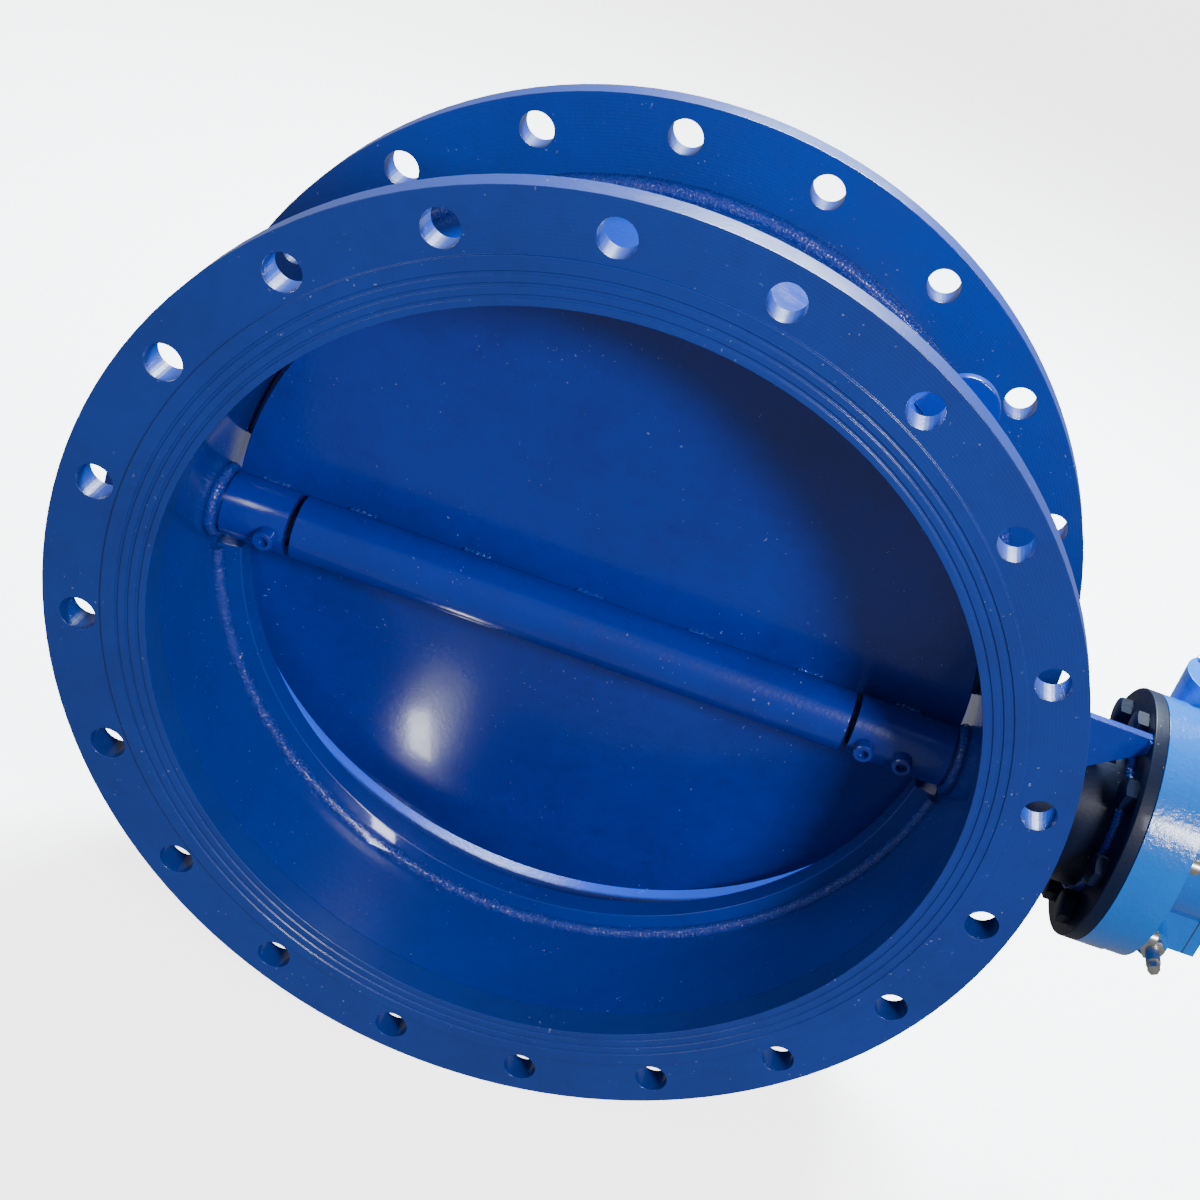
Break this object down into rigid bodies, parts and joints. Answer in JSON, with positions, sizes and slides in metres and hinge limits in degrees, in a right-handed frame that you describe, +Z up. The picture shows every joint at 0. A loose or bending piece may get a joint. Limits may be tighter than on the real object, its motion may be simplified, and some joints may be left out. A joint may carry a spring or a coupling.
{
  "type": "butterfly valve",
  "caption": "Double-flanged welded plate butterfly damper valve with a flat disc on a cross shaft, turned by a worm gearbox and handwheel.",
  "frame": {"origin": "where the shaft axis crosses the bore axis, 126 mm behind the front raised face", "axes": "+X along the shaft towards the gear operator, the pipe runs along Y with the front face towards -Y, +Z up"},
  "size_m": [0.9847, 0.328, 0.7549],
  "materials": {
    "body_paint": "semi-gloss deep blue epoxy coat over plate steel, light orange peel",
    "disc_paint": "semi-gloss deep blue epoxy coat, a little darker than the body",
    "neck_paint": "very dark blue-black coat on the neck, its flange and the bolts through it",
    "weld_bead": "rippled weld bead under the same blue coat",
    "operator_paint": "gloss sky blue enamel over cast iron",
    "handwheel_paint": "gloss sky blue enamel, worn a little on the rim",
    "shaft_steel": "turned carbon steel, satin",
    "gear_iron": "machined ductile iron with a film of grease",
    "zinc_steel": "zinc plated steel fasteners",
    "bronze": "turned bronze, satin",
    "graphite": "braided graphite packing and fibre gasket, matt",
    "seal_rubber": "black nitrile rubber",
    "bearing_steel": "ground bearing steel",
    "dial_plate": "brushed aluminium plate",
    "pointer_paint": "gloss red enamel"
  },
  "bodies": {
    "body": {"body_shell": "body_paint", "front_flange": "body_paint", "rear_flange": "body_paint", "flange_welds": "weld_bead", "lower_stop_ring": "body_paint", "upper_stop_ring": "body_paint", "stop_ring_welds": "weld_bead", "lifting_lugs": "body_paint", "drive_bush": "bronze", "tail_bush": "bronze", "thrust_washers": "disc_paint", "tail_boss": "body_paint", "tail_gasket": "graphite", "tail_cover": "body_paint", "tail_cover_bolts": "body_paint", "neck_tube": "neck_paint", "mounting_flange": "neck_paint", "operator_bolts": "neck_paint", "front_gusset": "body_paint", "rear_gusset": "body_paint", "stuffing_box": "body_paint", "gland_studs": "zinc_steel", "gland_nuts": "zinc_steel", "packing_rings": "graphite", "gland_follower": "bronze", "gearbox_base": "operator_paint", "housing_screws": "zinc_steel", "gearbox_housing": "operator_paint", "cover_bolts": "zinc_steel", "cover_gasket": "graphite", "gearbox_cover": "operator_paint", "worm_top_cap": "operator_paint", "worm_end_cap": "operator_paint", "worm_cap_bolts": "zinc_steel", "worm_shaft_seal": "seal_rubber", "worm_bearings": "bearing_steel", "stop_screws": "zinc_steel", "stop_locknuts": "zinc_steel", "indicator_dial": "dial_plate"},
    "disc": {"disc_plate": "disc_paint", "disc_tube": "disc_paint", "drive_hub": "disc_paint", "tail_hub": "disc_paint", "hub_pins": "disc_paint", "disc_stitch_welds": "weld_bead", "drive_shaft": "shaft_steel", "tail_shaft": "shaft_steel", "sector_gear": "gear_iron", "gear_key": "shaft_steel", "pointer": "pointer_paint", "pointer_washer": "zinc_steel", "pointer_screw": "zinc_steel"},
    "spindle": {"worm_shaft": "shaft_steel", "handwheel": "handwheel_paint", "handwheel_key": "shaft_steel", "handwheel_washer": "zinc_steel", "handwheel_nut": "zinc_steel"}
  },
  "joints": [
    {"name": "disc_turn", "type": "hinge", "parent": "body", "child": "disc", "pos_m": [0, 0, 0], "axis": [1, 0, 0], "range_deg": [-6.2, 83.8]},
    {"name": "handwheel_turn", "type": "hinge", "parent": "body", "child": "spindle", "pos_m": [0.496, 0.092, 0], "axis": [0, 0, 1], "range_deg": [-223.4, 3017]}
  ],
  "couplings": [
    {"joint": "handwheel_turn", "follows": "disc_turn", "ratio": 36}
  ]
}
